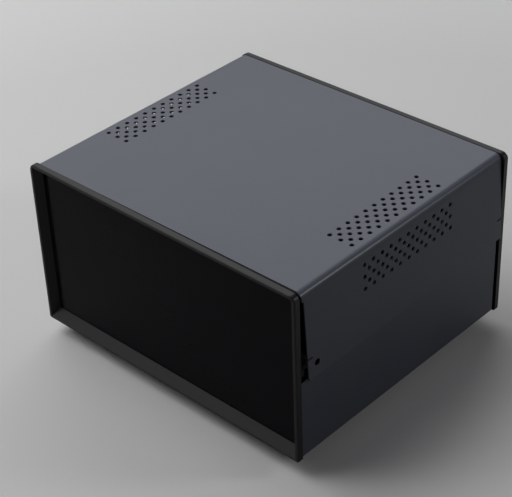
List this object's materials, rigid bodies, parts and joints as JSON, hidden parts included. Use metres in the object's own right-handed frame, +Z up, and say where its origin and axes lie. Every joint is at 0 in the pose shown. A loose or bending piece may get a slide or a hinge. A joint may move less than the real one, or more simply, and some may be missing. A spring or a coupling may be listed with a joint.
{
  "type": "sheet-steel junction box",
  "caption": "Low sheet-steel desktop enclosure: folded vented cover and folded base between two moulded bezels with recessed flat panels, on rubber feet, sold empty for electronics.",
  "frame": {"origin": "on the table under the middle of the case", "axes": "+X to the right seen from the front panel, +Y from the front panel to the rear, +Z up"},
  "size_m": [0.2256, 0.1985, 0.1294],
  "materials": {
    "cover_paint": "satin slate-grey powder coat",
    "base_paint": "satin slate-grey powder coat",
    "bezel_plastic": "fine-grained moulded black",
    "panel_plastic": "glossy black",
    "foot_rubber": "matt black",
    "zinc_steel": "bright zinc plated"
  },
  "bodies": {
    "root": {"top_cover": "cover_paint", "base_tray": "base_paint", "front_bezel": "bezel_plastic", "rear_bezel": "bezel_plastic", "front_panel": "panel_plastic", "rear_panel": "panel_plastic", "front_left_foot": "foot_rubber", "front_right_foot": "foot_rubber", "rear_left_foot": "foot_rubber", "rear_right_foot": "foot_rubber", "foot_screws": "zinc_steel", "foot_washers": "zinc_steel", "foot_nuts": "zinc_steel", "front_bezel_screws": "zinc_steel", "rear_bezel_screws": "zinc_steel"}
  },
  "joints": []
}
